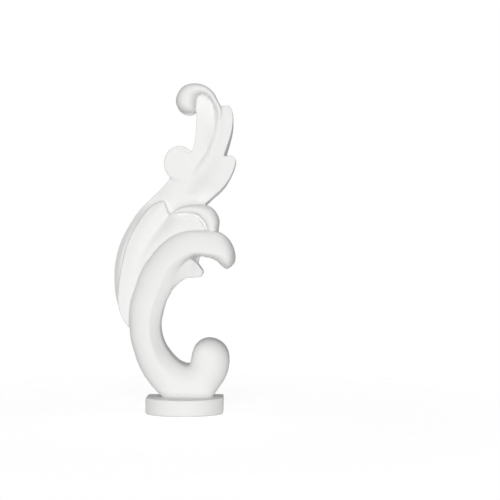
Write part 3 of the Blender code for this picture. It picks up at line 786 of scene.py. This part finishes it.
LOWER_LOBE = BladeLimb("lower_lobe", (
    (0.0, 2.4, -9.0, 198.5, 9.0, -4.5, 196.0, 9.0, 6.0, 190.0, 6.5, 19.0, 189.5, 8.0),
    (0.0, 2.4, -6.0, 208.0, 13.5, -1.0, 205.0, 15.0, 13.5, 198.5, 8.6, 27.2, 197.1, 11.5),
    (0.0, 1.8, 0.0, 216.5, 15.6, 4.5, 213.8, 17.6, 19.5, 206.5, 12.6, 34.0, 203.4, 14.2),
    (0.0, 1.0, 6.0, 222.8, 16.6, 10.3, 220.3, 19.8, 25.0, 213.0, 16.0, 38.8, 210.1, 16.4),
    (0.0, 0.5, 10.8, 228.3, 17.6, 14.8, 226.0, 21.0, 29.5, 220.0, 18.0, 42.7, 217.4, 17.6),
    (0.0, 0.3, 14.8, 233.3, 18.2, 18.3, 231.0, 21.8, 32.0, 226.5, 19.4, 46.0, 226.5, 18.4),
    (0.0, 0.4, 18.3, 238.5, 18.6, 21.8, 236.0, 22.2, 33.5, 232.0, 20.2, 46.4, 232.2, 18.8),
    (0.0, 0.4, 21.8, 243.5, 17.8, 25.0, 240.5, 21.6, 34.0, 235.2, 20.0, 43.4, 235.5, 19.0),
))
UPPER_LOBE = BladeLimb("upper_lobe", (
    (0.0, 2.5, 17.0, 234.6, 17.8, 21.0, 234.4, 21.6, 28.0, 234.3, 21.4, 37.4, 234.2, 20.4),
    (0.0, 1.7, 21.0, 246.2, 18.6, 25.8, 246.0, 22.9, 32.0, 246.2, 22.2, 41.2, 247.0, 21.2),
    (0.0, 0.7, 25.0, 258.0, 19.2, 29.8, 258.0, 23.4, 35.0, 258.5, 22.6, 43.8, 260.0, 21.4),
    (0.0, 0.3, 26.8, 269.0, 19.2, 31.6, 269.5, 23.4, 36.5, 270.0, 22.4, 43.9, 271.5, 21.2),
    (0.0, 0.3, 26.5, 276.0, 19.0, 31.2, 277.0, 23.2, 36.5, 277.5, 21.8, 42.8, 278.0, 20.6),
    (0.0, 0.3, 25.5, 280.0, 18.5, 30.0, 280.2, 22.8, 35.0, 280.6, 21.4, 40.4, 281.4, 20.2),
))


@dataclass
class Casting:
    """The whole ornament: the limbs and the plate in one skin, flat behind and below.

    Lengths are in metres. A soft spot's reach shrinks to its last share over its passes.
    """

    drawing: Drawing = field(default_factory=Drawing)
    limbs: tuple[Limb | RoundLobe | BasePlate, ...] = (
        STEM, BasePlate(), RoundLobe(), CALYX_LOBE, CALYX_CUP, CUP_ROLL, THORN, THORN_WEB, LEAF_BLADE,
        LOWER_LOBE, UPPER_LOBE, HEAD_ROLL)
    soft_spots: tuple[SoftSpot, ...] = (
        SoftSpot(2.0, 224.0, 9.0, 10),
        SoftSpot(-2.0, 216.0, 7.0, 10),
        SoftSpot(-10.0, 213.5, 5.0, 30),
        SoftSpot(-4.0, 212.5, 5.5, 30),
        SoftSpot(1.0, 213.5, 5.5, 30),
        SoftSpot(-16.0, 180.5, 4.0, 24),
        SoftSpot(-18.5, 177.0, 5.5, 36),
        SoftSpot(-21.5, 173.0, 6.5, 40),
        SoftSpot(-25.2, 167.0, 6.5, 40),
        SoftSpot(-29.3, 160.5, 6.5, 40),
        SoftSpot(-33.0, 154.0, 6.5, 40),
        SoftSpot(-36.9, 147.6, 6.5, 40),
        SoftSpot(-41.0, 139.0, 6.5, 40),
        SoftSpot(-26.8, 15.2, 3.0, 12, 34.0),
        SoftSpot(26.6, 15.2, 3.0, 12, 34.0),
        SoftSpot(3.0, 142.5, 4.5, 30),
        SoftSpot(-14.0, 118.0, 8.0, 10),
        SoftSpot(-7.0, 128.0, 8.0, 10),
        SoftSpot(2.0, 206.0, 8.0, 8),
    )
    strokes: tuple[Stroke, ...] = (
        Stroke("cup_groove", (
            (-3.0, 181.8, 0.3), (4.8, 182.4, 1.4), (12.0, 180.0, 2.1), (16.4, 175.6, 2.7),
            (18.6, 171.2, 2.8), (19.6, 168.0, 2.0)), 2.4),
        Stroke("lobe_groove", ((-8.0, 243.0, 0.2), (-0.8, 241.4, 1.6), (3.4, 239.0, 2.0)), 1.5),
    )
    front_facing: float = -0.1
    voxel: float = 0.00060
    back_margin: float = 0.0024
    merge_distance: float = 0.0000006
    last_reach: float = 0.5
    soft_passes: int = 2
    softness: float = 0.5
    flat_reach: float = 0.0004
    most_triangles: int = 190000
    sharp_angle: float = math.radians(66)

    def grown(self) -> bpy.types.Mesh:
        """Joins the closed shells of all the limbs into one even skin.

        Returns:
            The skin's mesh.
        """
        shells = bmesh.new()
        for limb in self.limbs:
            shell = limb.build(self.drawing)
            part = bpy.data.meshes.new(limb.name)
            shell.to_mesh(part)
            LOG.info("limb %s: %d faces", limb.name, len(part.polygons))
            shell.free()
            shells.from_mesh(part)
            bpy.data.meshes.remove(part)
        data = bpy.data.meshes.new("shells")
        shells.to_mesh(data)
        shells.free()
        helper = bpy.data.objects.new("shells", data)
        bpy.context.scene.collection.objects.link(helper)
        skin = helper.modifiers.new("skin", "REMESH")
        skin.mode = "VOXEL"
        skin.voxel_size = self.voxel
        made = bpy.data.meshes.new_from_object(
            helper.evaluated_get(bpy.context.evaluated_depsgraph_get()))
        bpy.data.objects.remove(helper)
        bpy.data.meshes.remove(data)
        return made

    def soften(self, mesh: bmesh.types.BMesh) -> None:
        """Softens the whole skin a little and the soft spots more, most of all in their middles.

        Args:
            mesh: The skin.
        """
        for _ in range(self.soft_passes):
            bmesh.ops.smooth_vert(mesh, verts=mesh.verts, factor=self.softness, use_axis_x=True,
                                  use_axis_y=True, use_axis_z=True)
        front = self.drawing.wall_y - self.back_margin
        for spot in self.soft_spots:
            middle = self.drawing.place(spot.x, spot.z, spot.top)
            distances = {vert: math.hypot(vert.co.x - middle.x, vert.co.z - middle.z)
                         for vert in mesh.verts if middle.y < vert.co.y < front}
            for number in range(spot.passes):
                shrink = 1 - (1 - self.last_reach) * number / spot.passes
                reach = spot.reach * self.drawing.scale * shrink
                near = [vert for vert, distance in distances.items() if distance < reach]
                bmesh.ops.smooth_vert(mesh, verts=near, factor=self.softness, use_axis_x=True,
                                      use_axis_y=True, use_axis_z=True)

    def carve(self, mesh: bmesh.types.BMesh) -> None:
        """Presses the strokes into the front of the skin.

        Args:
            mesh: The skin.
        """
        mesh.normal_update()
        front = [vert for vert in mesh.verts if vert.normal.y < self.front_facing]
        points = np.array([self.drawing.drawn(vert.co) for vert in front])
        for stroke in self.strokes:
            for vert, depth in zip(front, stroke.depths(points)):
                vert.co.y += depth * self.drawing.scale
            LOG.info("stroke %s", stroke.name)

    def flatten(self, mesh: bmesh.types.BMesh) -> None:
        """Cuts the back at the wall plane and levels the underside.

        Args:
            mesh: The skin.
        """
        for vert in mesh.verts:
            if vert.co.z < self.flat_reach:
                vert.co.z = 0.0
        bmesh.ops.bisect_plane(mesh, geom=mesh.verts[:] + mesh.edges[:] + mesh.faces[:],
                               dist=self.merge_distance, plane_co=(0.0, self.drawing.wall_y, 0.0),
                               plane_no=(0.0, 1.0, 0.0), clear_outer=True)
        closed_shell(mesh)

    def build(self) -> bpy.types.Object:
        """Makes the finished piece.

        Returns:
            The piece's object, at the origin, with its place in its mesh.
        """
        data = self.grown()
        mesh = bmesh.new()
        mesh.from_mesh(data)
        self.soften(mesh)
        self.carve(mesh)
        self.flatten(mesh)
        count = len(mesh.faces)
        mesh.to_mesh(data)
        mesh.free()
        data.name = "cast_ornament"
        piece = bpy.data.objects.new("cast_ornament", data)
        bpy.context.scene.collection.objects.link(piece)
        if count > self.most_triangles:
            thin = piece.modifiers.new("thin", "DECIMATE")
            thin.ratio = self.most_triangles / count
            piece.data = bpy.data.meshes.new_from_object(
                piece.evaluated_get(bpy.context.evaluated_depsgraph_get()))
            piece.modifiers.clear()
            bpy.data.meshes.remove(data)
        piece.data.shade_smooth()
        piece.data.set_sharp_from_angle(angle=self.sharp_angle)
        LOG.info("skin: %d triangles, kept %d", count, len(piece.data.polygons))
        return piece

    def dress(self, piece: bpy.types.Object, finish: PrimedWhite) -> None:
        """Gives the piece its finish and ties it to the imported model.

        Args:
            piece: The casting.
            finish: Its finish.
        """
        piece.data.materials.clear()
        piece.data.materials.append(finish.material())
        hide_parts(NODE_NAME)
        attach(piece, BODY_NAME)


@dataclass(frozen=True)
class StudioFloor:
    """A plain pale floor that fades into the white room."""

    name: str = "studio_floor"
    radius: float = 0.9
    segments: int = 96
    drop: float = 0.0002
    colour: Colour = (0.86, 0.86, 0.86, 1.0)
    glow: float = 0.76
    solid_reach: float = 0.10
    fade_reach: float = 0.42
    roughness: float = 0.9

    def build(self) -> bpy.types.Object:
        """Makes the floor, hidden from diffuse and shadow rays.

        Returns:
            The floor's object.
        """
        mesh = bmesh.new()
        bmesh.ops.create_circle(mesh, cap_ends=True, segments=self.segments, radius=self.radius)
        bmesh.ops.translate(mesh, verts=mesh.verts, vec=(0.0, 0.0, -self.drop))
        data = bpy.data.meshes.new(self.name)
        mesh.to_mesh(data)
        mesh.free()
        data.materials.append(self.material())
        floor = bpy.data.objects.new(self.name, data)
        bpy.context.scene.collection.objects.link(floor)
        floor.visible_diffuse = False
        floor.visible_shadow = False
        return floor

    def material(self) -> bpy.types.Material:
        """Makes its material: pale, a little bright of itself, and clear far from the piece.

        Returns:
            The material.
        """
        made = bpy.data.materials.new("pale_floor")
        recipe = Recipe(made)
        place = recipe.node("ShaderNodeTexCoord").outputs["Object"]
        distance = recipe.node("ShaderNodeVectorMath", {"operation": "LENGTH"}, {0: place})
        fade = recipe.node("ShaderNodeMapRange", {"interpolation_type": "SMOOTHSTEP"}, {
            "Value": recipe.value(distance, "Value"), "From Min": self.solid_reach,
            "From Max": self.fade_reach})
        surface = recipe.node("ShaderNodeBsdfPrincipled", None, {
            "Base Color": self.colour, "Roughness": self.roughness,
            "Emission Color": self.colour, "Emission Strength": self.glow})
        clear = recipe.node("ShaderNodeBsdfTransparent")
        mixed = recipe.node("ShaderNodeMixShader", None, {
            0: recipe.value(fade, "Result"), 1: surface.outputs["BSDF"], 2: clear.outputs["BSDF"]})
        recipe.node("ShaderNodeOutputMaterial", None, {"Surface": mixed.outputs["Shader"]})
        return made


@dataclass(frozen=True)
class SoftLight:
    """A broad, distant soft light.

    Its spread is in radians and its pitch and turn are in degrees. Pitch 90 is level, and turn 0
    shines along +Y.
    """

    name: str
    strength: float
    spread: float
    pitch: float
    turn: float

    def build(self) -> bpy.types.Object:
        """Makes the light.

        Returns:
            The light's object.
        """
        lamp = bpy.data.lights.new(self.name, "SUN")
        lamp.energy = self.strength
        lamp.angle = self.spread
        made = bpy.data.objects.new(self.name, lamp)
        made.rotation_euler = (math.radians(self.pitch), 0.0, math.radians(self.turn))
        bpy.context.scene.collection.objects.link(made)
        return made


@dataclass(frozen=True)
class WhiteRoom:
    """The white room: soft light from all round, most of it from ahead of the piece's front, and a
    clean white where the room itself is seen.
    """

    name: str = "white_room"
    ahead: float = 0.41
    behind: float = 0.22
    seen: float = 1.0

    def build(self) -> bpy.types.World:
        """Makes the world.

        Returns:
            The world.
        """
        world = bpy.data.worlds.new(self.name)
        bpy.context.scene.world = world
        recipe = Recipe(world)
        front, rear, white = (
            recipe.node("ShaderNodeBackground", None, {"Color": WHITE, "Strength": strength})
            for strength in (self.ahead, self.behind, self.seen))
        way = recipe.node("ShaderNodeTexCoord").outputs["Generated"]
        parts = recipe.node("ShaderNodeSeparateXYZ", None, {"Vector": way})
        rearward = (recipe.value(parts, "Y") + 1.0) / 2.0
        fill = recipe.node("ShaderNodeMixShader", None, {
            0: rearward, 1: front.outputs[0], 2: rear.outputs[0]})
        rays = recipe.node("ShaderNodeLightPath")
        mixed = recipe.node("ShaderNodeMixShader", None, {
            0: rays.outputs["Is Camera Ray"], 1: fill.outputs[0], 2: white.outputs[0]})
        recipe.node("ShaderNodeOutputWorld", None, {"Surface": mixed.outputs[0]})
        return world


@dataclass(frozen=True)
class PhotoCamera:
    """The camera at the photograph's viewpoint: level, in front, to the right of the piece."""

    name: str = "photo_camera"
    location: tuple[float, float, float] = (0.05963, -1.1290, 0.1490)
    sensor: float = 36.0
    lens: float = 88.49

    def build(self) -> bpy.types.Object:
        """Makes the camera and gives it to the scene.

        Returns:
            The camera's object.
        """
        data = bpy.data.cameras.new(self.name)
        data.sensor_width = self.sensor
        data.lens = self.lens
        made = bpy.data.objects.new(self.name, data)
        made.location = self.location
        made.rotation_euler = (math.pi / 2, 0.0, 0.0)
        bpy.context.scene.collection.objects.link(made)
        bpy.context.scene.camera = made
        return made


FRONT_SOFTBOX = SoftLight("front_softbox", strength=1.96, spread=0.9, pitch=90.0, turn=-1.0)
REAR_SOFTBOX = SoftLight("rear_softbox", strength=1.4, spread=0.3, pitch=100.0, turn=180.0)


def main() -> None:
    """Builds the casting, then the room, the lights and the camera."""
    logging.basicConfig(level=logging.INFO, format="%(name)s %(message)s")
    casting = Casting()
    piece = casting.build()
    casting.dress(piece, PrimedWhite())
    LOG.info("piece %s: box %s", piece.name, [round(size, 4) for size in piece.dimensions])
    StudioFloor().build()
    WhiteRoom().build()
    for light in (FRONT_SOFTBOX, REAR_SOFTBOX):
        light.build()
        LOG.info("light %s", light.name)
    PhotoCamera().build()
    bpy.context.scene.view_settings.view_transform = "Standard"


if __name__ == "__main__":
    main()
